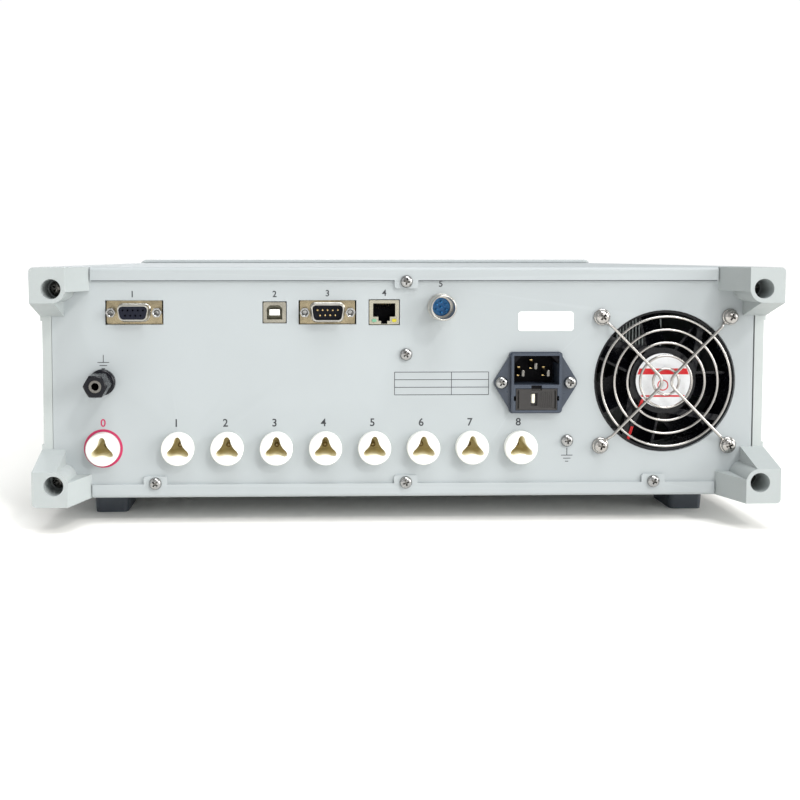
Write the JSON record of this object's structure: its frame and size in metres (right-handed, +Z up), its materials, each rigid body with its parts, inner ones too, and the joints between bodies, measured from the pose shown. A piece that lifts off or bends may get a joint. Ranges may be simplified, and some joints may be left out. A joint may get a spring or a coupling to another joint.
{
  "type": "impulse winding tester",
  "caption": "Bench impulse winding tester: grey sheet-metal case with corner bumpers, keyed high-voltage sockets, ports, fused mains inlet and guarded fan behind, display and keys in front",
  "frame": {"origin": "centre of the object's bounding box in plan, on the plane the feet stand on", "axes": "+X to the right of someone facing the rear panel, which faces -Y; the front panel faces +Y; +Z up"},
  "size_m": [0.406, 0.444, 0.145],
  "materials": {
    "case_paint": "fine matt powder coat",
    "frame_plastic": "fine-grained moulded plastic",
    "bumper_plastic": "fine-grained moulded plastic",
    "side_aluminium": "painted extrusion",
    "nickel_steel": "bright nickel plate",
    "yellow_zinc": "yellow passivated steel",
    "shell_steel": "tinned sheet",
    "black_plastic": "moulded plastic",
    "inlet_plastic": "moulded plastic, slight gloss",
    "white_nylon": "turned nylon",
    "contact_brass": "turned brass",
    "blue_plastic": "moulded plastic",
    "fan_plastic": "glossy moulded plastic",
    "guard_wire": "bright drawn wire",
    "display_glass": "clear window",
    "inner_metal": "plain sheet",
    "circuit_board": "solder-masked board",
    "ferrite": "ferrite core with a taped winding",
    "key_plastic": "moulded key",
    "start_green": "moulded key",
    "stop_red": "moulded key",
    "foot_rubber": "moulded rubber-like plastic"
  },
  "bodies": {
    "case": {"rear_panel": "case_paint", "chassis_tray": "case_paint", "top_cover": "case_paint", "side_panel_left": "side_aluminium", "side_panel_right": "side_aluminium", "front_frame": "bumper_plastic", "front_panel": "case_paint", "display_window": "display_glass", "display_module": "inner_metal", "front_board": "circuit_board", "bumper_top_left": "bumper_plastic", "bumper_top_right": "bumper_plastic", "bumper_bottom_left": "bumper_plastic", "bumper_bottom_right": "bumper_plastic", "bumper_screws": "nickel_steel", "case_screws": "nickel_steel", "rear_feet": "foot_rubber", "front_feet": "foot_rubber", "handler_port": "yellow_zinc", "serial_port": "yellow_zinc", "port_inserts": "black_plastic", "serial_pins": "contact_brass", "port_jackscrews": "nickel_steel", "usb_port": "shell_steel", "lan_port": "shell_steel", "foot_switch_socket": "nickel_steel", "foot_switch_insert": "blue_plastic", "ground_post": "black_plastic", "hv_socket": "white_nylon", "channel_socket_1": "white_nylon", "channel_socket_2": "white_nylon", "channel_socket_3": "white_nylon", "channel_socket_4": "white_nylon", "channel_socket_5": "white_nylon", "channel_socket_6": "white_nylon", "channel_socket_7": "white_nylon", "channel_socket_8": "white_nylon", "socket_contacts": "contact_brass", "inlet_body": "inlet_plastic", "inlet_pins": "nickel_steel", "fan_frame": "fan_plastic", "fan_guard": "guard_wire", "fan_screws": "nickel_steel", "main_board": "circuit_board", "power_supply": "inner_metal", "pulse_transformer": "ferrite", "relay_board": "circuit_board"},
    "left_leg": {"tilt_leg_left": "frame_plastic"},
    "right_leg": {"tilt_leg_right": "frame_plastic"},
    "ground_cap": {"ground_post_cap": "black_plastic"},
    "drawer": {"fuse_drawer": "inlet_plastic"},
    "rotor": {"fan_rotor": "fan_plastic"},
    "power_key": {"power_button": "key_plastic"},
    "start_key": {"start_button": "start_green"},
    "stop_key": {"stop_button": "stop_red"},
    "dial": {"knob": "frame_plastic"},
    "soft_key_a": {"soft_key_1": "key_plastic"},
    "soft_key_b": {"soft_key_2": "key_plastic"},
    "soft_key_c": {"soft_key_3": "key_plastic"},
    "soft_key_d": {"soft_key_4": "key_plastic"}
  },
  "joints": [
    {"name": "left_leg_fold", "type": "hinge", "parent": "case", "child": "left_leg", "pos_m": [-0.1675, 0.155, 0.0075], "axis": [1, 0, 0], "range_deg": [0, 100]},
    {"name": "right_leg_fold", "type": "hinge", "parent": "case", "child": "right_leg", "pos_m": [0.1675, 0.155, 0.0075], "axis": [1, 0, 0], "range_deg": [0, 100]},
    {"name": "ground_cap_turn", "type": "hinge", "parent": "case", "child": "ground_cap", "pos_m": [-0.1665, -0.215, 0.079], "axis": [0, 1, 0], "continuous": true},
    {"name": "fuse_drawer_slide", "type": "slide", "parent": "case", "child": "drawer", "axis": [0, -1, 0], "range_m": [0, 0.022]},
    {"name": "fan_spin", "type": "hinge", "parent": "case", "child": "rotor", "pos_m": [0.144, -0.185, 0.0786], "axis": [0, 1, 0], "continuous": true},
    {"name": "knob_turn", "type": "hinge", "parent": "case", "child": "dial", "pos_m": [-0.082, 0.215, 0.0945], "axis": [0, 1, 0], "continuous": true},
    {"name": "power_press", "type": "slide", "parent": "case", "child": "power_key", "axis": [0, -1, 0], "range_m": [0, 0.0012], "stiffness_N_per_m": 500},
    {"name": "start_press", "type": "slide", "parent": "case", "child": "start_key", "axis": [0, -1, 0], "range_m": [0, 0.0012], "stiffness_N_per_m": 500},
    {"name": "stop_press", "type": "slide", "parent": "case", "child": "stop_key", "axis": [0, -1, 0], "range_m": [0, 0.0012], "stiffness_N_per_m": 500},
    {"name": "soft_press_1", "type": "slide", "parent": "case", "child": "soft_key_a", "axis": [0, -1, 0], "range_m": [0, 0.0012], "stiffness_N_per_m": 500},
    {"name": "soft_press_2", "type": "slide", "parent": "case", "child": "soft_key_b", "axis": [0, -1, 0], "range_m": [0, 0.0012], "stiffness_N_per_m": 500},
    {"name": "soft_press_3", "type": "slide", "parent": "case", "child": "soft_key_c", "axis": [0, -1, 0], "range_m": [0, 0.0012], "stiffness_N_per_m": 500},
    {"name": "soft_press_4", "type": "slide", "parent": "case", "child": "soft_key_d", "axis": [0, -1, 0], "range_m": [0, 0.0012], "stiffness_N_per_m": 500}
  ]
}
